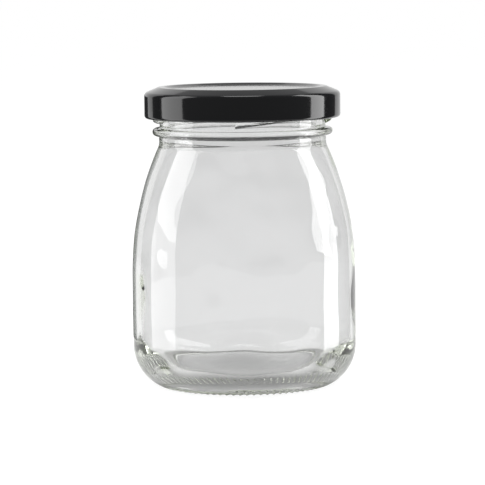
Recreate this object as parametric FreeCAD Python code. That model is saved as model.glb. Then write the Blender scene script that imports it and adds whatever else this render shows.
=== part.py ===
# Dessert jar of clear pressed glass, closed by a black twist-off cap of tinplate.
#
# Frame: millimetres, +Z up, origin at the centre of the foot ring, front towards -Y.
# The pieces are the jar with its four thread ridges, the cap with its four lugs, and the
# sealing ring that lies in the channel of the cap and is pressed onto the rim of the jar.
import FreeCAD, Part
import math
import os

# --- glass: heights and radii of the outside -------------------------------------------
jar_height = 91.2          # foot to rim, without the cap
body_radius = 34.6         # largest radius, on the straight part of the side
foot_inset = 8.2           # body side to the outer edge of the foot ring
foot_width = 1.8           # flat ring that the jar stands on
foot_depth = 0.5           # foot ring below the edge of the hollow underside
heel_radius = 13.6         # round of the lower edge
shoulder_radius = 92.2     # long curve from the side to the neck
neck_fillet = 4.0          # hollow curve between shoulder and neck
neck_length = 1.5          # straight neck below the carrying bead
neck_step = 0.2            # neck stands out from the wall of the finish

# --- glass: inside ------------------------------------------------------------------------
wall = 2.2                 # side and shoulder
finish_wall = 2.6          # threaded mouth
floor_height = 3.6         # foot to the lowest part of the inside
floor_dome = 1.4           # rise of the inside floor towards its middle
inner_heel_radius = 12.2   # round between inside floor and side
push_up = 1.8              # rise of the underside at its middle
dish_flat = 2.0            # radius of the flat in the middle of the floor and underside

# --- glass: carrying bead, rim and thread --------------------------------------------------
bead_reach = 2.05          # bead stands out from the neck
bead_nose = 1.15           # round of the bead's edge, half its height
bead_lower_fillet = 0.5
bead_upper_fillet = 0.7
bead_drop = 4.2            # middle of the bead below the edge of the cap
rim_round = 1.2            # round of both edges of the rim
thread_starts = 4
thread_first = -5.3        # degrees from the front to the low end of the first ridge
thread_sweep = 96.0        # degrees that one ridge runs
thread_fade = 9.0          # degrees over which each end of a ridge dies away
thread_lead = 17.5         # rise of a ridge in one full turn
thread_reach = 2.1         # ridge stands out from the wall of the finish
thread_root = 0.95         # half the height of a ridge at the wall
thread_crest = 0.5         # half the height of a ridge at its crest
thread_bite = 0.5          # depth of a ridge inside the wall
thread_steps = 16          # sections along one ridge

# --- cap: tinplate ---------------------------------------------------------------------------
cap_radius = 30.25         # outside of the skirt
cap_depth = 9.6            # top of the ring to the lower edge
sheet = 0.22               # tinplate with its lacquer
panel_drop = 0.55          # panel below the top of the ring
panel_inset = 0.1          # bore of the glass to the foot of the panel's edge
panel_slope = 1.4          # width of the slope from the panel up to the ring
ring_width = 1.6           # flat top of the ring, before its edges are rounded
shoulder_drop = 2.2        # ring down to the corner of the skirt
panel_round = 0.5
ring_inner_round = 0.8
ring_outer_round = 1.5
skirt_round = 1.5
curl_radius = 0.95         # rolled lower edge
curl_turn = 250.0          # degrees that the edge is rolled through
curl_clearance = 0.65      # inside of the curl to the crests of the thread
lug_width = 18.0           # degrees round the cap
lug_clearance = 0.7        # tip of a lug to the wall of the finish
lug_thickness = 1.0
lug_corner = 1.2           # rounding of a lug seen from below
lug_edge = 0.4             # rounding of its upper and lower edge
lug_turn = 76.0            # degrees from the low end of a ridge to its lug
lug_gap = 0.1              # clearance between a lug and the ridge that it draws on

# --- sealing ring ------------------------------------------------------------------------------
seal_over_rim = 0.98       # compound left between the rim and the cap
seal_sink = 0.3            # rim pressed into the compound
seal_inside = 0.9          # ring reaches this far in from the bore, under the panel
seal_outside = 1.8         # and this far out from the wall of the finish
seal_round = 0.12          # rounding of its inner lower edge

# --- sizes that follow from those above -----------------------------------------------------
cap_top = jar_height + seal_over_rim + sheet
cap_bottom = cap_top - cap_depth
curl_height = cap_bottom + curl_radius
lug_top = curl_height + lug_thickness / 2
tiny = 1e-6                # shorter than any edge
finish_radius = cap_radius - 2 * curl_radius - curl_clearance - thread_reach
bore_radius = finish_radius - finish_wall
neck_radius = finish_radius + neck_step
thread_rise = thread_lead / 360
thread_low = lug_top + lug_gap + thread_root - lug_turn * thread_rise
bead_height = cap_bottom - bead_drop
neck_top = bead_height - bead_nose - bead_lower_fillet
foot_radius = body_radius - foot_inset
inner_radius = body_radius - wall


def at(radius, height):
    """A point of the section, in the plane that is turned about the jar's axis."""
    return FreeCAD.Vector(radius, 0, height)


def line(start, end):
    return Part.LineSegment(start, end).toShape()


def arc(start, end, centre):
    """The shorter arc about a centre that both ends are equally far from."""
    middle = (start + end) * 0.5 - centre
    middle = centre + middle * ((start - centre).Length / middle.Length)
    return Part.Arc(start, middle, end).toShape()


def dish(edge, rise):
    """A shallow dish, from its edge up to the small flat around the axis."""
    radius = (edge.x ** 2 - dish_flat ** 2 + rise ** 2) / (2 * rise)
    middle = at(dish_flat, edge.z + rise)
    return [arc(edge, middle, at(0, middle.z - radius)), line(middle, at(0, middle.z))]


def rounded(corners):
    """Edges through (radius, height, rounding) corners; the two ends are not rounded."""
    edges = []
    start = at(*corners[0][:2])
    for before, corner, after in zip(corners, corners[1:], corners[2:]):
        tip = at(*corner[:2])
        back = (at(*before[:2]) - tip).normalize()
        ahead = (at(*after[:2]) - tip).normalize()
        half = back.getAngle(ahead) / 2
        reach = corner[2] / math.tan(half)
        centre = tip + (back + ahead).normalize() * (corner[2] / math.sin(half))
        if start.distanceToPoint(tip + back * reach) > tiny:
            edges.append(line(start, tip + back * reach))
        edges.append(arc(tip + back * reach, tip + ahead * reach, centre))
        start = tip + ahead * reach
    edges.append(line(start, at(*corners[-1][:2])))
    return edges


def beside(corners, distance):
    """The same corners moved to the right of the path, as the other side of a sheet."""
    moved = []
    points = [at(*corner[:2]) for corner in corners]
    headings = [(end - start).normalize() for start, end in zip(points, points[1:])]
    for index, point in enumerate(points):
        arriving = headings[max(index - 1, 0)]
        leaving = headings[min(index, len(headings) - 1)]
        turn = arriving.x * leaving.z - arriving.z * leaving.x
        side = (at(arriving.z, -arriving.x) + at(leaving.z, -leaving.x)).normalize()
        reach = distance / math.sqrt((1 + arriving.dot(leaving)) / 2)
        rounding = corners[index][2] + math.copysign(distance, turn)
        moved.append((point.x + side.x * reach, point.z + side.z * reach, rounding))
    return moved


def turned(edges, degrees=360.0):
    """The solid that a closed outline sweeps about the axis."""
    face = Part.Face(Part.Wire(Part.__sortEdges__(edges)))
    return face.revolve(FreeCAD.Vector(), FreeCAD.Vector(0, 0, 1), degrees)


def shoulder(centre, curve, straight, fillet):
    """Where a long shoulder curve runs through a fillet into a straight upright wall.

    Returns the centre of the fillet, its lower end on the curve and its end on the wall.
    """
    radius = straight + fillet
    height = centre.z + math.sqrt((curve + fillet) ** 2 - (radius - centre.x) ** 2)
    middle = at(radius, height)
    foot = centre + (middle - centre) * (curve / (curve + fillet))
    return middle, foot, at(straight, height)


def side_centre():
    """Centre of the shoulder curve, placed so that its fillet ends where the neck starts."""
    start = at(body_radius - shoulder_radius, 0)
    rise = shoulder(start, shoulder_radius, neck_radius, neck_fillet)[2].z
    return at(start.x, neck_top - neck_length - rise)


def underside():
    """Hollow underside and foot ring, from the axis out to the start of the heel."""
    inner = foot_radius - foot_width
    edge = at(inner - foot_depth, foot_depth)
    foot = rounded([(edge.x, edge.z, 0), (inner, 0, foot_depth / 2), (foot_radius, 0, 0)])
    return dish(edge, push_up - foot_depth) + foot


def outside():
    """Heel, side, shoulder and neck, from the foot ring up to the bead."""
    heel = at(body_radius - heel_radius, 0)
    heel.z = math.sqrt(heel_radius ** 2 - (foot_radius - heel.x) ** 2)
    long_curve = side_centre()
    fillet, foot, top = shoulder(long_curve, shoulder_radius, neck_radius, neck_fillet)
    return [arc(at(foot_radius, 0), at(body_radius, heel.z), heel),
            line(at(body_radius, heel.z), at(body_radius, long_curve.z)),
            arc(at(body_radius, long_curve.z), foot, long_curve),
            arc(foot, top, fillet)]


def mouth(inner_top):
    """Neck, carrying bead, wall of the finish, rim and bore, down to the inner shoulder."""
    bead_radius = neck_radius + bead_reach
    low, high = bead_height - bead_nose, bead_height + bead_nose
    return rounded([(neck_radius, neck_top - neck_length, 0),
                    (neck_radius, low, bead_lower_fillet),
                    (bead_radius, low, bead_nose),
                    (bead_radius, high, bead_nose),
                    (finish_radius, high, bead_upper_fillet),
                    (finish_radius, jar_height, rim_round),
                    (bore_radius, jar_height, rim_round),
                    (bore_radius, inner_top.z, 0)])


def inside():
    """Inner shoulder, side, heel and floor, from the bore down to the axis."""
    long_curve = side_centre()
    inner_shoulder = shoulder_radius - wall
    fillet, foot, top = shoulder(long_curve, inner_shoulder, bore_radius, neck_fillet + wall)
    heel = at(inner_radius - inner_heel_radius, floor_height + inner_heel_radius)
    floor_edge = at(heel.x, floor_height)
    side = at(inner_radius, long_curve.z)
    edges = [arc(top, foot, fillet), arc(foot, side, long_curve),
             line(side, at(inner_radius, heel.z)),
             arc(at(inner_radius, heel.z), floor_edge, heel)]
    return top, edges + dish(floor_edge, floor_dome)


def ridge_section(angle):
    """Outline of a thread ridge, at some degrees along it, standing in a radial plane."""
    end = min(angle, thread_sweep - angle) / thread_fade
    grown = math.sin(min(end, 1.0) * math.pi / 2)
    root = finish_radius - thread_bite
    crest = root + thread_bite / 2 + (thread_bite / 2 + thread_reach) * grown
    flank = crest - thread_crest
    height = thread_low + angle * thread_rise
    corners = [at(root, height - thread_root), at(flank, height - thread_crest),
               at(flank, height + thread_crest), at(root, height + thread_root)]
    edges = [line(corners[0], corners[1]),
             Part.Arc(corners[1], at(crest, height), corners[2]).toShape(),
             line(corners[2], corners[3]), line(corners[3], corners[0])]
    section = Part.Wire(edges)
    section.rotate(FreeCAD.Vector(), FreeCAD.Vector(0, 0, 1), angle)
    return section


def thread_ridge(start):
    """One raised ridge of the thread, from its low end at some degrees round from +X."""
    stations = [thread_sweep * (1 - math.cos(math.pi * step / thread_steps)) / 2
                for step in range(thread_steps + 1)]
    ridge = Part.makeLoft([ridge_section(angle) for angle in stations], True, False)
    ridge.rotate(FreeCAD.Vector(), FreeCAD.Vector(0, 0, 1), start)
    return ridge


def from_front(turn, index):
    """Degrees round from +X of the first, second... of four places counted from the front."""
    return turn - 90 + index * 360 / thread_starts


def jar():
    inner_top, inner_edges = inside()
    edges = underside() + outside() + mouth(inner_top) + inner_edges
    edges.append(line(at(0, floor_height + floor_dome), at(0, push_up)))
    ridges = [thread_ridge(from_front(thread_first, index)) for index in range(thread_starts)]
    return turned(edges).fuse(ridges)


def cap_corners():
    """The outer face of the cap's sheet, from the middle of the panel down the skirt."""
    panel = bore_radius - panel_inset
    return [(0, cap_top - panel_drop, 0),
            (panel, cap_top - panel_drop, panel_round),
            (panel + panel_slope, cap_top, ring_inner_round),
            (panel + panel_slope + ring_width, cap_top, ring_outer_round),
            (cap_radius, cap_top - shoulder_drop, skirt_round),
            (cap_radius, curl_height, 0)]


def lug():
    """One inward lug of the cap, pressed out of the curl along the slope of its ridge."""
    tip, back = finish_radius + lug_clearance, cap_radius - curl_radius
    low = lug_top - lug_thickness
    corners = [at(tip, low), at(back, low), at(back, lug_top), at(tip, lug_top), at(tip, low)]
    block = turned([line(*pair) for pair in zip(corners, corners[1:])], lug_width)
    upright = [edge for edge in block.Edges
               if math.hypot(edge.CenterOfMass.x, edge.CenterOfMass.y) < tip + 0.01
               and edge.Length < lug_thickness + 0.01]
    block = block.makeFillet(lug_corner, upright)
    tips = [edge for edge in block.Edges
            if abs(abs(edge.CenterOfMass.z - low - lug_thickness / 2) - lug_thickness / 2) < tiny
            and max(math.hypot(v.X, v.Y) for v in edge.Vertexes) < back - tiny]
    block = block.makeFillet(lug_edge, tips)
    axis = FreeCAD.Vector(0, 0, 1)
    block.rotate(FreeCAD.Vector(), axis, -lug_width / 2)
    slope = math.degrees(math.atan(thread_lead / (2 * math.pi * tip)))
    block.rotate(at(0, lug_top), FreeCAD.Vector(1, 0, 0), slope)
    curl_middle = Part.makeTorus(back, curl_radius - sheet / 2, at(0, curl_height), axis)
    return block.cut(curl_middle)


def cap():
    outer = cap_corners()
    inner = beside(outer, sheet)
    centre = at(cap_radius - curl_radius, curl_height)
    end = FreeCAD.Vector(math.cos(math.radians(curl_turn)), 0, -math.sin(math.radians(curl_turn)))
    half = FreeCAD.Vector(math.cos(math.radians(curl_turn / 2)), 0,
                          -math.sin(math.radians(curl_turn / 2)))
    curl = [Part.Arc(centre + at(radius, 0), centre + half * radius,
                     centre + end * radius).toShape()
            for radius in (curl_radius, curl_radius - sheet)]
    edges = rounded(outer) + rounded(inner) + curl
    edges.append(line(centre + end * curl_radius, centre + end * (curl_radius - sheet)))
    edges.append(line(at(*inner[0][:2]), at(*outer[0][:2])))
    shell = turned(edges)
    lugs = []
    for index in range(thread_starts):
        one = lug()
        one.rotate(FreeCAD.Vector(), FreeCAD.Vector(0, 0, 1),
                   from_front(thread_first + lug_turn, index))
        lugs.append(one)
    return shell.fuse(lugs)


def cap_hollow():
    """The space under the cap's sheet, from its top down to the lower edge."""
    inner = beside(cap_corners(), sheet)
    low_corner = at(inner[-1][0], cap_bottom)
    edges = rounded(inner) + [line(at(*inner[-1][:2]), low_corner),
                              line(low_corner, at(0, cap_bottom)),
                              line(at(0, cap_bottom), at(*inner[0][:2]))]
    return turned(edges)


def seal(glass):
    """The ring of compound in the cap, with the groove that the rim has pressed in it."""
    low = jar_height - seal_sink
    inner, outer = bore_radius - seal_inside, finish_radius + seal_outside
    ring = turned(rounded([(inner, cap_top, 0), (inner, low, seal_round),
                           (outer, low, seal_sink), (outer, cap_top, 0)])
                  + [line(at(outer, cap_top), at(inner, cap_top))])
    return ring.common(cap_hollow()).cut(glass)


os.makedirs("parts", exist_ok=True)
glass_jar = jar()
pieces = {"jar": glass_jar, "lid": cap(), "liner": seal(glass_jar)}
for name, shape in pieces.items():
    solid = shape.removeSplitter().Solids[0]
    print(name, "solids", len(shape.Solids), "valid", solid.isValid(),
          "volume cm3", round(solid.Volume / 1000, 3), solid.BoundBox)
    solid.exportStep("parts/" + name + ".step")
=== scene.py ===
import bpy
import math
from mathutils import Matrix, Vector
from mathutils.kdtree import KDTree


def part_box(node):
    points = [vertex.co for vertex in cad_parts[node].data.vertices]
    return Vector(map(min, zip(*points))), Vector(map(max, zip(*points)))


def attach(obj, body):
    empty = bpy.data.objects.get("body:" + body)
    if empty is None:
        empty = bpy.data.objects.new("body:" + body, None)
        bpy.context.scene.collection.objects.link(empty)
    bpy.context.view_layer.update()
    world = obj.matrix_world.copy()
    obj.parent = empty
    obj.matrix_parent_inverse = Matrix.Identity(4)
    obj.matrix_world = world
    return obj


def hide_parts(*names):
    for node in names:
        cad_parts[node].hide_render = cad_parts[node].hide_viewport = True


bl_info = {
    "name": "Glass dessert jar",
    "version": (1, 0, 0),
    "blender": (4, 5, 0),
    "location": "View3D > Sidebar > Jar",
    "description": "Builds a clear dessert jar with a black twist-off cap and its studio",
    "category": "Add Mesh",
}

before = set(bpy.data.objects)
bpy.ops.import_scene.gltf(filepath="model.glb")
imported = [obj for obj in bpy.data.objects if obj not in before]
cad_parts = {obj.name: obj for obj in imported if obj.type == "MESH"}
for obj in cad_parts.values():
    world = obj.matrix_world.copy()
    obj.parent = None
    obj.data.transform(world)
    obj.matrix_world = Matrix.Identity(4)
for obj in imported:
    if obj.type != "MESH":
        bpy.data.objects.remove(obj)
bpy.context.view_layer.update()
jar_low, jar_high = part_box("jar")
cap_low, cap_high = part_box("lid")

MM = 0.001
TINY = 1e-7
MERGE = 1e-6
FULL_TURN = 2 * math.pi


# --- settings --------------------------------------------------------------------------------
def length(name, description, default):
    """A setting in metres."""
    return bpy.props.FloatProperty(name=name, description=description, default=default,
                                   min=0.0, precision=5, unit="LENGTH")


def angle(name, description, degrees):
    """A setting that is an angle."""
    return bpy.props.FloatProperty(name=name, description=description,
                                   default=math.radians(degrees), unit="ROTATION")


def colour(name, description, default):
    """A setting that is a colour."""
    return bpy.props.FloatVectorProperty(name=name, description=description, default=default,
                                         size=3, min=0.0, max=1.0, subtype="COLOR")


class JarGlass(bpy.types.PropertyGroup):
    """Sizes and clearness of the glass."""
    wall: length("Wall", "Thickness of the side and shoulder", 2.2 * MM)
    finish_wall: length("Mouth wall", "Thickness of the threaded mouth", 2.6 * MM)
    floor_height: length("Floor", "Height of the lowest part of the inside", 3.6 * MM)
    floor_dome: length("Floor dome", "Rise of the inside floor to its middle", 1.4 * MM)
    inner_heel: length("Inner heel", "Round between floor and side", 12.2 * MM)
    ripple: length("Ripple", "Unevenness that pressing leaves on the inside", 0.4 * MM)
    outer_ripple: bpy.props.FloatProperty(
        name="Outer ripple", description="Share of the ripple that the outer skin has",
        default=0.5)
    ripple_size: length("Ripple size", "Width of one hollow of that unevenness", 18 * MM)
    ripple_fade: length("Ripple fade", "Height below the neck over which it dies out", 10 * MM)
    rib_depth: length("Rib depth", "Depth of the grooves between the grip ribs", 0.6 * MM)
    rib_width: length("Rib width", "Width of the ribbed band, from the foot outwards", 4.2 * MM)
    rib_slant: bpy.props.FloatProperty(
        name="Rib slant", description="Share of the pitch that a rib moves round over its length",
        default=0.6)
    ribs: bpy.props.IntProperty(name="Ribs", description="Grip ribs round the foot",
                                default=80, min=8, max=200)
    # Face and edge are the outer skin's colour straight on and at a grazing look; the edge colour
    # is painted shade that darkens the outline of the glass.
    face: colour("Face", "What a straight look through the skin keeps", (0.88, 0.88, 0.885))
    edge: colour("Edge", "What a grazing look through the skin keeps", (0.34, 0.36, 0.34))
    tint: colour("Tint", "Colour that thick glass takes on", (0.82, 0.86, 0.74))
    tint_depth: bpy.props.FloatProperty(name="Tint depth", description="Absorption per metre",
                                        default=16.0, min=0.0)


class CapFinish(bpy.types.PropertyGroup):
    """Lacquer of the cap."""
    lacquer: colour("Lacquer", "Colour of the lacquer", (0.005, 0.0053, 0.0065))
    roughness: bpy.props.FloatProperty(name="Roughness", description="Roughness of the lacquer",
                                       default=0.09, min=0.0, max=1.0)
    compound: colour("Sealing compound", "Colour of the ring in the cap", (0.72, 0.71, 0.68))


class Studio(bpy.types.PropertyGroup):
    """Camera and floor."""
    distance: length("Distance", "Camera to the jar's axis, along the floor", 855 * MM)
    height: length("Height", "Camera above the floor", 131 * MM)
    aside: length("Aside", "Camera to the left of the jar's axis", 0.4 * MM)
    aim: length("Aim", "Height on the jar's axis that the camera looks at", 43.9 * MM)
    lens: bpy.props.FloatProperty(name="Lens", description="Focal length in millimetres",
                                  default=205.6, min=10.0)
    roll: angle("Roll", "Tilt of the camera about its own line of sight", -0.6)
    floor: colour("Floor", "Colour of the floor", (0.2, 0.2, 0.2))
    glow: bpy.props.FloatProperty(name="Glow", description="Own light of the floor", default=0.9)


# --- outlines --------------------------------------------------------------------------------
def at(radius, height):
    """A point of a half section."""
    return Vector((radius, 0.0, height))


def arc(start, end, centre, parts):
    """Points after start, up to end, along the shorter arc about a centre."""
    first, last = start - centre, end - centre
    turn = math.atan2(first.cross(last).y, first.dot(last))
    points = []
    for part in range(1, parts + 1):
        step = turn * part / parts
        points.append(centre + Vector((first.x * math.cos(step) + first.z * math.sin(step), 0.0,
                                       first.z * math.cos(step) - first.x * math.sin(step))))
    return points


def straight(start, end, parts):
    """Points after start, up to end, along a line."""
    return [start.lerp(end, part / parts) for part in range(1, parts + 1)]


def rounded(corners, parts, pitch=4 * MM):
    """Points through (radius, height, rounding) corners, the first one left out."""
    points = []
    start = at(*corners[0][:2])
    for before, corner, after in zip(corners, corners[1:], corners[2:]):
        tip = at(*corner[:2])
        back = (at(*before[:2]) - tip).normalized()
        ahead = (at(*after[:2]) - tip).normalized()
        half = back.angle(ahead) / 2
        reach = corner[2] / math.tan(half)
        centre = tip + (back + ahead).normalized() * (corner[2] / math.sin(half))
        gap = (tip + back * reach - start).length
        if gap > TINY:
            points += straight(start, tip + back * reach, max(1, round(gap / pitch)))
        points += arc(tip + back * reach, tip + ahead * reach, centre, parts)
        start = tip + ahead * reach
    end = at(*corners[-1][:2])
    return points + straight(start, end, max(1, round((end - start).length / pitch)))


def beside(corners, distance):
    """The same corners moved to the right of the path, as the other side of a sheet."""
    moved = []
    points = [at(*corner[:2]) for corner in corners]
    headings = [(end - start).normalized() for start, end in zip(points, points[1:])]
    for index, point in enumerate(points):
        arriving = headings[max(index - 1, 0)]
        leaving = headings[min(index, len(headings) - 1)]
        turn = arriving.x * leaving.z - arriving.z * leaving.x
        side = (at(arriving.z, -arriving.x) + at(leaving.z, -leaving.x)).normalized()
        reach = distance / math.sqrt((1 + arriving.dot(leaving)) / 2)
        rounding = corners[index][2] + math.copysign(distance, turn)
        moved.append((point.x + side.x * reach, point.z + side.z * reach, rounding))
    return moved


# --- working with meshes ---------------------------------------------------------------------
def begin(name, place):
    """A new object that is one vertex at a place, open in edit mode."""
    bpy.ops.object.select_all(action="DESELECT")
    bpy.ops.mesh.primitive_plane_add(size=1 * MM, location=(0, 0, 0))
    piece = bpy.context.object
    piece.name = piece.data.name = name
    bpy.ops.object.mode_set(mode="EDIT")
    bpy.ops.mesh.select_mode(type="VERT")
    bpy.ops.mesh.merge(type="CENTER")
    bpy.ops.transform.translate(value=place)
    return piece


def draw(points):
    """Extrudes the selected vertex from point to point."""
    for before, after in zip(points, points[1:]):
        bpy.ops.mesh.extrude_vertices_move(TRANSFORM_OT_translate={"value": after - before})


def turned(name, points, steps):
    """A piece that a half section sweeps about the jar's axis."""
    piece = begin(name, points[0])
    draw(points)
    bpy.ops.mesh.select_all(action="SELECT")
    bpy.ops.mesh.spin(steps=steps, angle=FULL_TURN, center=(0, 0, 0), axis=(0, 0, 1),
                      use_auto_merge=True)
    bpy.ops.mesh.select_all(action="SELECT")
    bpy.ops.mesh.remove_doubles(threshold=MERGE)
    bpy.ops.mesh.normals_make_consistent(inside=False)
    bpy.ops.object.mode_set(mode="OBJECT")
    return piece


def only(piece):
    """Selects one object and makes it the active one."""
    bpy.ops.object.select_all(action="DESELECT")
    piece.select_set(True)
    bpy.context.view_layer.objects.active = piece


def pick(piece, wanted):
    """Leaves edit mode with just the vertices selected for which wanted(vertex) holds."""
    bpy.ops.mesh.select_all(action="DESELECT")
    bpy.ops.object.mode_set(mode="OBJECT")
    for vertex in piece.data.vertices:
        vertex.select = wanted(vertex)
    bpy.ops.object.mode_set(mode="EDIT")


def apply_modifiers(piece):
    """Applies a piece's modifiers in their order."""
    only(piece)
    for modifier in list(piece.modifiers):
        bpy.ops.object.modifier_apply(modifier=modifier.name)


def united(piece, others):
    """Joins closed pieces into one skin."""
    for other in others:
        union = piece.modifiers.new("union", "BOOLEAN")
        union.operation = "UNION"
        union.solver = "MANIFOLD"
        union.object = other
    apply_modifiers(piece)
    for other in others:
        bpy.data.objects.remove(other)


def smooth(piece, degrees):
    """Shades a piece smooth, but for edges sharper than an angle."""
    only(piece)
    bpy.ops.object.shade_smooth_by_angle(angle=math.radians(degrees))


def coat(piece, made):
    """Gives every face of a piece one material."""
    piece.data.materials.clear()
    piece.data.materials.append(made)
    piece.data.polygons.foreach_set("material_index", [0] * len(piece.data.polygons))


def copies(piece, count):
    """The piece and its copies, each with its own mesh, evenly turned about the axis."""
    found = [piece]
    for index in range(1, count):
        only(piece)
        bpy.ops.object.duplicate(linked=False)
        twin = bpy.context.object
        bpy.ops.transform.rotate(value=-FULL_TURN * index / count, orient_axis="Z",
                                 center_override=(0, 0, 0))
        bpy.ops.object.transform_apply(location=True, rotation=True, scale=True)
        found.append(twin)
    return found


# --- sizes of jar and cap --------------------------------------------------------------------
BODY_RADIUS = jar_high.x
RIM_HEIGHT = jar_high.z
CAP_RADIUS = cap_high.x
CAP_TOP = cap_high.z
CAP_BOTTOM = cap_low.z

# Foot, heel, shoulder and neck of the jar
FOOT_INSET = 8.2 * MM
FOOT_WIDTH = 1.8 * MM
FOOT_DEPTH = 0.5 * MM
FOOT_ROUND_PITCH = 0.6 * MM
PUSH_UP = 1.8 * MM
HEEL_RADIUS = 13.6 * MM
SHOULDER_RADIUS = 92.2 * MM
NECK_FILLET = 4.0 * MM
NECK_LENGTH = 1.5 * MM
NECK_STEP = 0.2 * MM

# Bead under the thread, and rim
BEAD_REACH = 2.05 * MM
BEAD_NOSE = 1.15 * MM
BEAD_LOWER_FILLET = 0.5 * MM
BEAD_UPPER_FILLET = 0.7 * MM
BEAD_DROP = 4.2 * MM
RIM_ROUND = 1.2 * MM

# Thread; turns are in degrees from the front
STARTS = 4
THREAD_FIRST = -5.3
THREAD_SWEEP = 96.0
THREAD_FADE = 9.0
THREAD_LEAD = 17.5 * MM
THREAD_REACH = 2.1 * MM
THREAD_HALF = 0.95 * MM
THREAD_BITE = 0.3 * MM
THREAD_START = 0.1

# Cap: its sheet, panel, ring, shoulder and skirt, then its curl and lugs
SHEET = 0.22 * MM
PANEL_INSET = 0.1 * MM
PANEL_DROP = 0.55 * MM
PANEL_ROUND = 0.5 * MM
PANEL_SLOPE = 1.4 * MM
RING_WIDTH = 1.6 * MM
RING_INNER_ROUND = 0.8 * MM
RING_OUTER_ROUND = 1.5 * MM
SHOULDER_DROP = 1.8 * MM
SKIRT_ROUND = 1.5 * MM
CURL_RADIUS = 0.95 * MM
CURL_CLEARANCE = 0.65 * MM
CURL_TURN = 250.0
LUG_WIDTH = 18.0
LUG_TURN = 76.0
LUG_CLEARANCE = 0.7 * MM
LUG_THICKNESS = 1.0 * MM
LUG_GAP = 0.1 * MM
LUG_TUCK = 0.2 * MM
LUG_EDGE = 0.35 * MM

# Sizes that follow from those
FINISH_RADIUS = CAP_RADIUS - 2 * CURL_RADIUS - CURL_CLEARANCE - THREAD_REACH
NECK_RADIUS = FINISH_RADIUS + NECK_STEP
BEAD_HEIGHT = CAP_BOTTOM - BEAD_DROP
NECK_TOP = BEAD_HEIGHT - BEAD_NOSE - BEAD_LOWER_FILLET
FOOT_RADIUS = BODY_RADIUS - FOOT_INSET
CURL_HEIGHT = CAP_BOTTOM + CURL_RADIUS
LUG_TOP = CURL_HEIGHT + LUG_THICKNESS / 2
THREAD_RISE = THREAD_LEAD / 360
THREAD_LOW = LUG_TOP + LUG_GAP + THREAD_HALF - LUG_TURN * THREAD_RISE

# How finely each form is divided, and the sharpest edge that is shaded smooth, in degrees
DISH_PARTS = 12
FOOT_PARTS = 3
HEEL_PARTS = 30
SIDE_PARTS = 8
SHOULDER_PARTS = 22
NECK_PARTS = 5
ROUND_PARTS = 6
INNER_HEEL_PARTS = 16
CURL_PARTS = 16
LUG_SEGMENTS = 3
STEPS_PER_RIB = 5
CAP_STEPS = 256
THREAD_STATIONS = 26
THREAD_SIDES = 14
GROOVE_LEVELS = 12
GROOVE_CEILING = 2.5 * MM
GLASS_SHARP = 50
CAP_SHARP = 40


# --- glass -----------------------------------------------------------------------------------
def shoulder(centre, curve, wall_radius, fillet):
    """Fillet centre, its end on the long curve and its end on the upright wall."""
    radius = wall_radius + fillet
    height = centre.z + math.sqrt((curve + fillet) ** 2 - (radius - centre.x) ** 2)
    middle = at(radius, height)
    foot = centre + (middle - centre) * (curve / (curve + fillet))
    return middle, foot, at(wall_radius, height)


def glass_section(glass):
    """The half section of the jar, from the middle of its underside round to its floor."""
    bore_radius = FINISH_RADIUS - glass.finish_wall
    inner_radius = BODY_RADIUS - glass.wall
    centre = at(BODY_RADIUS - SHOULDER_RADIUS, 0)
    centre.z = NECK_TOP - NECK_LENGTH - shoulder(centre, SHOULDER_RADIUS, NECK_RADIUS,
                                                 NECK_FILLET)[2].z
    fillet, foot, top = shoulder(centre, SHOULDER_RADIUS, NECK_RADIUS, NECK_FILLET)
    heel = at(BODY_RADIUS - HEEL_RADIUS, 0)
    heel.z = math.sqrt(HEEL_RADIUS ** 2 - (FOOT_RADIUS - heel.x) ** 2)
    foot_inner = FOOT_RADIUS - FOOT_WIDTH
    edge = at(foot_inner - FOOT_DEPTH, FOOT_DEPTH)
    rise = PUSH_UP - FOOT_DEPTH
    dish = at(0, PUSH_UP - (edge.x ** 2 + rise ** 2) / (2 * rise))
    points = [at(0, PUSH_UP)]
    points += arc(points[-1], edge, dish, DISH_PARTS)
    points += rounded([(edge.x, edge.z, 0), (foot_inner, 0, FOOT_DEPTH / 2),
                       (FOOT_RADIUS, 0, 0)], FOOT_PARTS, FOOT_ROUND_PITCH)
    points += arc(at(FOOT_RADIUS, 0), at(BODY_RADIUS, heel.z), heel, HEEL_PARTS)
    points += straight(points[-1], at(BODY_RADIUS, centre.z), SIDE_PARTS)
    points += arc(points[-1], foot, centre, SHOULDER_PARTS)
    points += arc(foot, top, fillet, NECK_PARTS)
    low, high = BEAD_HEIGHT - BEAD_NOSE, BEAD_HEIGHT + BEAD_NOSE
    bead = NECK_RADIUS + BEAD_REACH
    inner_curve = SHOULDER_RADIUS - glass.wall
    inner = shoulder(centre, inner_curve, bore_radius, NECK_FILLET + glass.wall)
    points += rounded([(top.x, top.z, 0), (NECK_RADIUS, low, BEAD_LOWER_FILLET),
                       (bead, low, BEAD_NOSE), (bead, high, BEAD_NOSE),
                       (FINISH_RADIUS, high, BEAD_UPPER_FILLET),
                       (FINISH_RADIUS, RIM_HEIGHT, RIM_ROUND),
                       (bore_radius, RIM_HEIGHT, RIM_ROUND),
                       (bore_radius, inner[2].z, 0)], ROUND_PARTS)
    inner_heel = at(inner_radius - glass.inner_heel, glass.floor_height + glass.inner_heel)
    points += arc(inner[2], inner[1], inner[0], ROUND_PARTS)
    points += arc(inner[1], at(inner_radius, centre.z), centre, SHOULDER_PARTS)
    points += straight(points[-1], at(inner_radius, inner_heel.z), SIDE_PARTS)
    floor_edge = at(inner_heel.x, glass.floor_height)
    points += arc(points[-1], floor_edge, inner_heel, INNER_HEEL_PARTS)
    drop = (floor_edge.x ** 2 + glass.floor_dome ** 2) / (2 * glass.floor_dome)
    middle = at(0, glass.floor_height + glass.floor_dome)
    points += arc(floor_edge, middle, at(0, middle.z - drop), DISH_PARTS)
    return points


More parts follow.
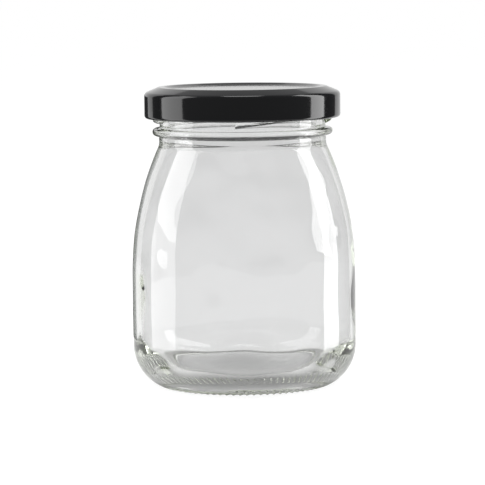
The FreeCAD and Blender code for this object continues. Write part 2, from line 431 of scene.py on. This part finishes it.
def thread_ridge():
    """One raised ridge of the thread, an oval drawn along the screw line."""
    reach = THREAD_REACH + THREAD_BITE
    root = FINISH_RADIUS - THREAD_BITE
    start = math.radians(THREAD_FIRST)

    def fade(turn):
        end = min(turn, THREAD_SWEEP - turn) / THREAD_FADE
        return THREAD_START + (1 - THREAD_START) * math.sin(min(end, 1.0) * math.pi / 2)

    bpy.ops.object.select_all(action="DESELECT")
    bpy.ops.mesh.primitive_circle_add(vertices=THREAD_SIDES, radius=1.0, fill_type="NGON")
    ridge = bpy.context.object
    ridge.name = ridge.data.name = "thread_ridge"
    bpy.ops.object.mode_set(mode="EDIT")
    bpy.ops.mesh.select_all(action="SELECT")
    bpy.ops.transform.rotate(value=math.pi / 2, orient_axis="X", center_override=(0, 0, 0))
    bpy.ops.transform.resize(value=(reach * fade(0), 1, THREAD_HALF))
    bpy.ops.transform.translate(value=(root, 0, THREAD_LOW))
    now = 0.0
    for station in range(1, THREAD_STATIONS + 1):
        turn = THREAD_SWEEP * (1 - math.cos(math.pi * station / THREAD_STATIONS)) / 2
        step = math.radians(turn - now)
        bpy.ops.mesh.extrude_region_move(
            TRANSFORM_OT_translate={"value": (0, 0, (turn - now) * THREAD_RISE)})
        back = math.radians(now)
        bpy.ops.transform.rotate(value=back, orient_axis="Z", center_override=(0, 0, 0))
        height = THREAD_LOW + turn * THREAD_RISE
        bpy.ops.transform.resize(value=(fade(turn) / fade(now), 1, 1),
                                 center_override=(root, 0, height))
        bpy.ops.transform.rotate(value=-back - step, orient_axis="Z", center_override=(0, 0, 0))
        now = turn
    bpy.ops.mesh.select_all(action="SELECT")
    bpy.ops.mesh.normals_make_consistent(inside=False)
    bpy.ops.transform.rotate(value=-(start - math.pi / 2), orient_axis="Z",
                             center_override=(0, 0, 0))
    bpy.ops.object.mode_set(mode="OBJECT")
    return ridge


def mark_outside(jar, outline):
    """Notes on each point of the glass whether it is on the outer skin."""
    rim = max(range(len(outline)), key=lambda index: outline[index].z)
    tree = KDTree(len(outline))
    for index, point in enumerate(outline):
        tree.insert(point, index)
    tree.balance()
    marks = [float(tree.find((math.hypot(vertex.co.x, vertex.co.y), 0, vertex.co.z))[1] < rim)
             for vertex in jar.data.vertices]
    jar.data.attributes.new("outside", "FLOAT", "POINT").data.foreach_set("value", marks)


def groove_foot(jar, glass):
    """Presses slanting grooves up into the foot and lower heel, with grip ribs between."""
    only(jar)
    bpy.ops.object.mode_set(mode="EDIT")
    inner = FOOT_RADIUS - FOOT_WIDTH

    def level(vertex):
        radius = math.hypot(vertex.co.x, vertex.co.y)
        across = (radius - inner) / glass.rib_width
        if vertex.co.z > GROOVE_CEILING or not TINY < across < 1:
            return 0
        turns = math.atan2(vertex.co.y, vertex.co.x) / FULL_TURN * glass.ribs
        groove = 0.5 + 0.5 * math.cos(FULL_TURN * (turns + glass.rib_slant * across))
        return round(GROOVE_LEVELS * groove * math.sqrt(math.sin(math.pi * across)))

    wanted = [level(vertex) for vertex in jar.data.vertices]
    for step in range(1, GROOVE_LEVELS + 1):
        pick(jar, lambda vertex: wanted[vertex.index] == step)
        bpy.ops.transform.translate(value=(0, 0, glass.rib_depth * step / GROOVE_LEVELS))
    bpy.ops.object.mode_set(mode="OBJECT")


def ripple_skin(jar, glass):
    """Makes the inner wall uneven, as the plunger leaves it, and the outer skin a little."""
    group = jar.vertex_groups.new(name="uneven skin")
    top = NECK_TOP - NECK_LENGTH
    for vertex, mark in zip(jar.data.vertices, jar.data.attributes["outside"].data):
        share = min(1.0, (top - vertex.co.z) / glass.ripple_fade)
        if mark.value:
            share *= glass.outer_ripple * min(1.0, (vertex.co.z - HEEL_RADIUS)
                                              / glass.ripple_fade)
        if share > 0:
            group.add([vertex.index], share, "REPLACE")
    texture = bpy.data.textures.new("pressing", "CLOUDS")
    texture.noise_scale = glass.ripple_size
    texture.noise_depth = 1
    ripple = jar.modifiers.new("ripple", "DISPLACE")
    ripple.texture = texture
    ripple.texture_coords = "LOCAL"
    ripple.vertex_group = group.name
    ripple.strength = glass.ripple * 2
    ripple.mid_level = 0.5
    apply_modifiers(jar)


class DESSERTJAR_OT_glass(bpy.types.Operator):
    """Models the glass jar with its thread, bead and ribbed foot"""
    bl_idname = "dessertjar.glass"
    bl_label = "Glass jar"

    def execute(self, context):
        glass = context.scene.jar_glass
        outline = glass_section(glass)
        jar = turned("glass_jar", outline, STEPS_PER_RIB * glass.ribs)
        mark_outside(jar, outline)
        groove_foot(jar, glass)
        ripple_skin(jar, glass)
        united(jar, copies(thread_ridge(), STARTS))
        smooth(jar, GLASS_SHARP)
        coat(jar, clear_glass(glass))
        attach(jar, "root")
        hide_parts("jar")
        return {"FINISHED"}


# --- cap -------------------------------------------------------------------------------------
def cap_corners(bore_radius):
    """Corners of the cap's outside, from the middle of its panel to the top of its curl."""
    panel = bore_radius - PANEL_INSET
    return [(0, CAP_TOP - PANEL_DROP, 0),
            (panel, CAP_TOP - PANEL_DROP, PANEL_ROUND),
            (panel + PANEL_SLOPE, CAP_TOP, RING_INNER_ROUND),
            (panel + PANEL_SLOPE + RING_WIDTH, CAP_TOP, RING_OUTER_ROUND),
            (CAP_RADIUS, CAP_TOP - SHOULDER_DROP, SKIRT_ROUND),
            (CAP_RADIUS, CURL_HEIGHT, 0)]


def cap_section(bore_radius):
    """The half section of the cap's sheet with its rolled edge, out and back."""
    outer = cap_corners(bore_radius)
    inner = beside(outer, SHEET)
    centre = at(CAP_RADIUS - CURL_RADIUS, CURL_HEIGHT)
    turn = math.radians(CURL_TURN)

    def curl(radius):
        return [centre + at(radius * math.cos(turn * part / CURL_PARTS),
                            -radius * math.sin(turn * part / CURL_PARTS))
                for part in range(1, CURL_PARTS + 1)]

    outside = [at(*outer[0][:2])] + rounded(outer, ROUND_PARTS) + curl(CURL_RADIUS)
    inside = [at(*inner[0][:2])] + rounded(inner, ROUND_PARTS) + curl(CURL_RADIUS - SHEET)
    return outside + inside[::-1]


def lug():
    """One inward lug of the cap, a rounded slab along the slope of its ridge."""
    tip, back = FINISH_RADIUS + LUG_CLEARANCE, CAP_RADIUS - CURL_RADIUS
    bpy.ops.object.select_all(action="DESELECT")
    bpy.ops.mesh.primitive_cube_add(size=1.0, location=(0, 0, 0))
    slab = bpy.context.object
    slab.name = slab.data.name = "lug"
    bpy.ops.object.mode_set(mode="EDIT")
    bpy.ops.mesh.select_all(action="SELECT")
    width = 2 * tip * math.sin(math.radians(LUG_WIDTH / 2))
    bpy.ops.transform.resize(value=(back - tip - LUG_TUCK, width, LUG_THICKNESS))
    bpy.ops.transform.translate(value=((back + tip - LUG_TUCK) / 2, 0,
                                       LUG_TOP - LUG_THICKNESS / 2))
    bpy.ops.mesh.bevel(offset=LUG_EDGE, segments=LUG_SEGMENTS, affect="EDGES")
    slope = math.atan(THREAD_LEAD / (FULL_TURN * tip))
    bpy.ops.mesh.select_all(action="SELECT")
    bpy.ops.transform.rotate(value=-slope, orient_axis="X", center_override=(0, 0, LUG_TOP))
    place = math.radians(THREAD_FIRST + LUG_TURN) - math.pi / 2
    bpy.ops.transform.rotate(value=-place, orient_axis="Z", center_override=(0, 0, 0))
    bpy.ops.object.mode_set(mode="OBJECT")
    return slab


class DESSERTJAR_OT_cap(bpy.types.Operator):
    """Models the twist-off cap with its curl and lugs"""
    bl_idname = "dessertjar.cap"
    bl_label = "Cap"

    def execute(self, context):
        bore_radius = FINISH_RADIUS - context.scene.jar_glass.finish_wall
        cap = turned("tin_cap", cap_section(bore_radius), CAP_STEPS)
        united(cap, copies(lug(), STARTS))
        smooth(cap, CAP_SHARP)
        coat(cap, black_lacquer(context.scene.jar_cap))
        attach(cap, "root")
        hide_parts("lid")
        return {"FINISHED"}


class DESSERTJAR_OT_seal(bpy.types.Operator):
    """Gives the sealing ring in the cap its finish"""
    bl_idname = "dessertjar.seal"
    bl_label = "Sealing ring"

    def execute(self, context):
        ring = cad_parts["liner"]
        ring.material_slots[0].material = sealing_compound(context.scene.jar_cap)
        return {"FINISHED"}


# --- materials -------------------------------------------------------------------------------
GLASS_IOR = 1.52
LACQUER_IOR = 1.5
# Layer Weight facing at which the painted edge shade on the glass begins and is full
EDGE_SHADE_START, EDGE_SHADE_FULL = 0.68, 0.82
COMPOUND_ROUGHNESS = 0.45
# Smears on the lacquer: share by which they change its roughness, noise scale and detail
SMEAR, SMEAR_SCALE, SMEAR_DETAIL = 0.3, 60, 4
# Fine relief of each surface: noise scale, noise detail, height and strength
GLASS_RELIEF = (140, 2, 0.02 * MM, 0.5)
LACQUER_RELIEF = (900, 2, 0.01 * MM, 0.3)
COMPOUND_RELIEF = (300, 3, 0.05 * MM, 0.5)


def material(name):
    """A new node material with its shader, its nodes and its links."""
    made = bpy.data.materials.new(name)
    made.use_nodes = True
    nodes = made.node_tree.nodes
    return made, nodes["Principled BSDF"], nodes, made.node_tree.links


def noise(nodes, links, scale, detail):
    """A noise pattern that stays on the piece."""
    place = nodes.new("ShaderNodeTexCoord")
    pattern = nodes.new("ShaderNodeTexNoise")
    pattern.inputs["Scale"].default_value = scale
    pattern.inputs["Detail"].default_value = detail
    links.new(place.outputs["Object"], pattern.inputs["Vector"])
    return pattern.outputs["Fac"]


def relief(nodes, links, shader, scale, detail, height, strength):
    """Fine unevenness that only tilts the light on a surface."""
    pattern = noise(nodes, links, scale, detail)
    bump = nodes.new("ShaderNodeBump")
    bump.inputs["Distance"].default_value = height
    bump.inputs["Strength"].default_value = strength
    links.new(pattern, bump.inputs["Height"])
    links.new(bump.outputs["Normal"], shader.inputs["Normal"])


def clear_glass(glass):
    """Clear soda-lime glass, faintly green where thick; painted shade darkens its outer skin at
    the edge of its outline.
    """
    made, shader, nodes, links = material("clear_glass")
    # Painted shade: the outer skin's colour goes from face to the dark edge colour as the look
    # grazes it, drawing dark bands at the outline.
    facing = nodes.new("ShaderNodeLayerWeight")
    facing.inputs["Blend"].default_value = 0.5
    edge = nodes.new("ShaderNodeMapRange")
    edge.interpolation_type = "SMOOTHSTEP"
    edge.inputs["From Min"].default_value = EDGE_SHADE_START
    edge.inputs["From Max"].default_value = EDGE_SHADE_FULL
    links.new(facing.outputs["Facing"], edge.inputs["Value"])
    tint = nodes.new("ShaderNodeMix")
    tint.data_type = "RGBA"
    tint.inputs["A"].default_value = (*glass.face, 1)
    tint.inputs["B"].default_value = (*glass.edge, 1)
    outside = nodes.new("ShaderNodeAttribute")
    outside.attribute_name = "outside"
    painted_shade_outside = nodes.new("ShaderNodeMath")
    painted_shade_outside.operation = "MULTIPLY"
    links.new(edge.outputs["Result"], painted_shade_outside.inputs[0])
    links.new(outside.outputs["Fac"], painted_shade_outside.inputs[1])
    links.new(painted_shade_outside.outputs[0], tint.inputs["Factor"])
    links.new(tint.outputs["Result"], shader.inputs["Base Color"])
    shader.inputs["Roughness"].default_value = 0.0
    shader.inputs["IOR"].default_value = GLASS_IOR
    shader.inputs["Transmission Weight"].default_value = 1.0
    relief(nodes, links, shader, *GLASS_RELIEF)
    absorb = nodes.new("ShaderNodeVolumeAbsorption")
    absorb.inputs["Color"].default_value = (*glass.tint, 1)
    absorb.inputs["Density"].default_value = glass.tint_depth
    links.new(absorb.outputs["Volume"], nodes["Material Output"].inputs["Volume"])
    return made


def black_lacquer(cap):
    """Gloss black lacquer on tinplate, with the faint orange peel of stoved lacquer."""
    made, shader, nodes, links = material("black_lacquer")
    shader.inputs["Base Color"].default_value = (*cap.lacquer, 1)
    shader.inputs["IOR"].default_value = LACQUER_IOR
    smear = nodes.new("ShaderNodeMapRange")
    smear.inputs["To Min"].default_value = cap.roughness * (1 - SMEAR)
    smear.inputs["To Max"].default_value = cap.roughness * (1 + SMEAR)
    links.new(noise(nodes, links, SMEAR_SCALE, SMEAR_DETAIL), smear.inputs["Value"])
    links.new(smear.outputs["Result"], shader.inputs["Roughness"])
    relief(nodes, links, shader, *LACQUER_RELIEF)
    return made


def sealing_compound(cap):
    """Soft off-white compound, slightly uneven."""
    made, shader, nodes, links = material("sealing_compound")
    shader.inputs["Base Color"].default_value = (*cap.compound, 1)
    shader.inputs["Roughness"].default_value = COMPOUND_ROUGHNESS
    relief(nodes, links, shader, *COMPOUND_RELIEF)
    return made


# --- studio ----------------------------------------------------------------------------------
FLOOR_SIZE = 60.0
# Strength of the surroundings for soft light, in glass and metal, and to the camera
WORLD_LEVELS = (0.5, 0.9, 1.0)
# How much darker glass and metal show the floor than the camera sees it
FLOOR_LOSS = 0.1
LAMP_AIM = 50 * MM
SENSOR_WIDTH, SIGHT = 36, 100
CARD_STEPS, CEILING_SIDES = 24, 48
CARD_DISTANCE, CARD_HEIGHT = 0.12, 0.22
CURTAIN_HEIGHT = 0.54
BACK_HEIGHT = 0.09
ROOM_START, ROOM_END, ROOM_SIZE, ROOM_LEVEL = -111, 113, 1.2, 0.25
CEILING_RADIUS, CEILING_HEIGHT, CEILING_LEVEL = 1.3, 1.0, 0.45
# Lamps: azimuth, distance, width, height, height of their middle and radiance
LAMPS = {"left_strip": (-93.5, 0.9, 0.55, 1.2, 0.6, 3.0),
         "right_strip": (101, 0.9, 0.36, 1.2, 0.6, 5.0),
         "overhead": (0, 0.001, 0.35, 0.35, 0.95, 3.4)}
# Cards that metal and the skin of the glass mirror: first and last azimuth, height and level
CARDS = {"front_curtain": (-65.7, 77.3, CURTAIN_HEIGHT, 0.25),
         "left_panel": (-97.2, -65.7, CARD_HEIGHT, 3.0),
         "right_panel": (77.3, 99.1, CARD_HEIGHT, 5.0),
         "left_flag": (-117.7, -97.2, CARD_HEIGHT, 0.1),
         "right_flag": (99.1, 126.2, CARD_HEIGHT, 0.1),
         "left_back_flag": (-175, -133, BACK_HEIGHT, 0.05)}
# How bright glass and metal show the floor under the jar's middle, half way out and at its foot
SHADE_MIDDLE, SHADE_HALFWAY, SHADE_FOOT = 0.3, 0.46, 0.22
SHADE_FOOT_BAND, SHADE_END = 0.02, 0.9
BOUNCES = 32


def seen_or_mirrored(nodes, links):
    """1 for rays from the camera and those that metal and glass pass on, 0 for soft light."""
    path = nodes.new("ShaderNodeLightPath")
    total = path.outputs["Is Camera Ray"]
    for kind in ("Is Glossy Ray", "Is Transmission Ray"):
        plus = nodes.new("ShaderNodeMath")
        plus.operation = "ADD"
        plus.use_clamp = True
        links.new(total, plus.inputs[0])
        links.new(path.outputs[kind], plus.inputs[1])
        total = plus.outputs[0]
    return total


def levels(nodes, links, soft, mirrored, seen):
    """Strengths for soft light, for what metal and glass show and for what the camera sees."""
    strength = nodes.new("ShaderNodeMapRange")
    strength.inputs["To Min"].default_value = soft
    if isinstance(mirrored, float):
        strength.inputs["To Max"].default_value = mirrored
    else:
        links.new(mirrored, strength.inputs["To Max"])
    links.new(seen_or_mirrored(nodes, links), strength.inputs["Value"])
    direct = nodes.new("ShaderNodeMapRange")
    direct.inputs["To Max"].default_value = seen
    path = nodes.new("ShaderNodeLightPath")
    links.new(path.outputs["Is Camera Ray"], direct.inputs["Value"])
    links.new(strength.outputs["Result"], direct.inputs["To Min"])
    return direct.outputs["Result"]


def contact_shade(nodes, links, beyond):
    """The floor's level in glass and metal, lower where the jar keeps light from it."""
    place = nodes.new("ShaderNodeTexCoord")
    distance = nodes.new("ShaderNodeVectorMath")
    distance.operation = "LENGTH"
    links.new(place.outputs["Object"], distance.inputs[0])
    share = nodes.new("ShaderNodeMapRange")
    share.inputs["From Max"].default_value = BODY_RADIUS
    links.new(distance.outputs["Value"], share.inputs["Value"])
    shade = nodes.new("ShaderNodeValToRGB")
    shade.color_ramp.interpolation = "EASE"
    stops = shade.color_ramp.elements
    foot = FOOT_RADIUS / BODY_RADIUS
    for position, level in [(0.0, SHADE_MIDDLE), (0.5, SHADE_HALFWAY),
                            (foot - SHADE_FOOT_BAND, SHADE_FOOT),
                            (foot + SHADE_FOOT_BAND, SHADE_FOOT),
                            (SHADE_END, beyond), (1.0, beyond)]:
        stop = stops.new(position) if 0 < position < 1 else stops[-1 if position else 0]
        stop.color = (level, level, level, 1)
    links.new(share.outputs["Result"], shade.inputs["Fac"])
    return shade.outputs["Color"]


def surroundings(scene):
    """A white room, at half strength where it lights the object."""
    world = bpy.data.worlds.new("studio")
    scene.world = world
    world.use_nodes = True
    nodes, links = world.node_tree.nodes, world.node_tree.links
    background = nodes["Background"]
    background.inputs["Color"].default_value = (1, 1, 1, 1)
    links.new(levels(nodes, links, *WORLD_LEVELS), background.inputs["Strength"])


def lay_floor(studio):
    """A pale floor, white to the camera, that keeps the jar's shadow."""
    bpy.ops.object.select_all(action="DESELECT")
    bpy.ops.mesh.primitive_plane_add(size=FLOOR_SIZE, location=(0, 0, 0))
    floor = bpy.context.object
    floor.name = floor.data.name = "floor"
    made, shader, nodes, links = material("floor_white")
    shader.inputs["Base Color"].default_value = (*studio.floor, 1)
    shader.inputs["Roughness"].default_value = 1.0
    shader.inputs["Specular IOR Level"].default_value = 0.0
    shader.inputs["Emission Color"].default_value = (1, 1, 1, 1)
    mirrored = contact_shade(nodes, links, studio.glow - FLOOR_LOSS)
    links.new(levels(nodes, links, 0.0, mirrored, studio.glow),
              shader.inputs["Emission Strength"])
    floor.data.materials.append(made)


def mirrored_only(piece, grey, through=False):
    """Lets a stage piece show only in metal and on glass, or else only through glass."""
    made, shader, nodes, links = material(piece.name)
    shader.inputs["Base Color"].default_value = (0, 0, 0, 1)
    shader.inputs["Specular IOR Level"].default_value = 0.0
    shader.inputs["Emission Color"].default_value = (1, 1, 1, 1)
    shader.inputs["Emission Strength"].default_value = grey
    piece.data.materials.append(made)
    piece.visible_camera = piece.visible_diffuse = piece.visible_shadow = False
    piece.visible_transmission, piece.visible_glossy = through, not through


def card(name, start, end, distance, height, grey, through=False):
    """A curved card round the jar that shows only in glass and metal; azimuths in degrees."""
    first, last = math.radians(start - 90), math.radians(end - 90)
    piece = begin(name, (distance * math.cos(first), distance * math.sin(first), 0))
    bpy.ops.mesh.extrude_vertices_move(TRANSFORM_OT_translate={"value": (0, 0, height)})
    bpy.ops.mesh.select_all(action="SELECT")
    bpy.ops.mesh.spin(steps=CARD_STEPS, angle=first - last, center=(0, 0, 0), axis=(0, 0, 1))
    bpy.ops.object.mode_set(mode="OBJECT")
    mirrored_only(piece, grey, through)


def ceiling(radius, height, grey):
    """A round grey ceiling for the cap's sloped shoulder and ring to mirror."""
    bpy.ops.object.select_all(action="DESELECT")
    bpy.ops.mesh.primitive_circle_add(vertices=CEILING_SIDES, radius=radius, fill_type="NGON",
                                      location=(0, 0, height))
    piece = bpy.context.object
    piece.name = piece.data.name = "ceiling"
    mirrored_only(piece, grey)


def soft_box(name, azimuth, distance, width, height, centre_height, radiance):
    """A lamp panel that faces the jar; azimuth in degrees from the camera, + to the right."""
    turn = math.radians(azimuth)
    place = Vector((math.sin(turn) * distance, -math.cos(turn) * distance, centre_height))
    aim = Vector((0, 0, LAMP_AIM)) - place
    lamp = bpy.data.lights.new(name, "AREA")
    lamp.shape = "RECTANGLE"
    lamp.size, lamp.size_y = width, height
    lamp.energy = radiance * math.pi * width * height
    holder = bpy.data.objects.new(name, lamp)
    bpy.context.scene.collection.objects.link(holder)
    holder.location = place
    holder.rotation_euler = aim.to_track_quat("-Z", "Y").to_euler()
    holder.visible_camera = False


class DESSERTJAR_OT_studio(bpy.types.Operator):
    """Sets up the floor, lamps, surroundings and camera"""
    bl_idname = "dessertjar.studio"
    bl_label = "Studio"

    def execute(self, context):
        scene, studio = context.scene, context.scene.jar_studio
        surroundings(scene)
        lay_floor(studio)
        for name, setting in LAMPS.items():
            soft_box(name, *setting)
        ceiling(CEILING_RADIUS, CEILING_HEIGHT, CEILING_LEVEL)
        card("front_room", ROOM_START, ROOM_END, ROOM_SIZE, ROOM_SIZE, ROOM_LEVEL, through=True)
        for name, (start, end, height, grey) in CARDS.items():
            card(name, start, end, CARD_DISTANCE, height, grey)
        place = Vector((-studio.aside, -studio.distance, studio.height))
        aim = Vector((-studio.aside, 0, studio.aim)) - place
        camera = bpy.data.objects.new("camera", bpy.data.cameras.new("camera"))
        scene.collection.objects.link(camera)
        camera.location = place
        turn = aim.to_track_quat("-Z", "Y").to_matrix()
        camera.rotation_euler = (turn @ Matrix.Rotation(studio.roll, 3, "Z")).to_euler()
        camera.data.lens = studio.lens
        camera.data.sensor_width = SENSOR_WIDTH
        camera.data.clip_end = SIGHT
        scene.camera = camera
        scene.view_settings.view_transform = "Standard"
        scene.cycles.max_bounces = BOUNCES
        scene.cycles.glossy_bounces = BOUNCES
        scene.cycles.transmission_bounces = BOUNCES
        return {"FINISHED"}


# --- sidebar ---------------------------------------------------------------------------------
class DESSERTJAR_PT_panel(bpy.types.Panel):
    """Lists the jar's pieces and their settings"""
    bl_label = "Dessert jar"
    bl_idname = "DESSERTJAR_PT_panel"
    bl_space_type = "VIEW_3D"
    bl_region_type = "UI"
    bl_category = "Jar"

    def draw(self, context):
        for operator in OPERATORS:
            self.layout.operator(operator.bl_idname)
        for group in (context.scene.jar_glass, context.scene.jar_cap, context.scene.jar_studio):
            box = self.layout.box()
            for name in group.bl_rna.properties.keys():
                if name not in ("rna_type", "name"):
                    box.prop(group, name)


OPERATORS = (DESSERTJAR_OT_glass, DESSERTJAR_OT_cap, DESSERTJAR_OT_seal, DESSERTJAR_OT_studio)
GROUPS = {"jar_glass": JarGlass, "jar_cap": CapFinish, "jar_studio": Studio}
CLASSES = (*GROUPS.values(), *OPERATORS, DESSERTJAR_PT_panel)


def register():
    for one in CLASSES:
        bpy.utils.register_class(one)
    for name, group in GROUPS.items():
        setattr(bpy.types.Scene, name, bpy.props.PointerProperty(type=group))


def unregister():
    for name in GROUPS:
        delattr(bpy.types.Scene, name)
    for one in reversed(CLASSES):
        bpy.utils.unregister_class(one)


def main():
    register()
    bpy.ops.dessertjar.glass()
    bpy.ops.dessertjar.cap()
    bpy.ops.dessertjar.seal()
    bpy.ops.dessertjar.studio()


if __name__ == "__main__":
    main()
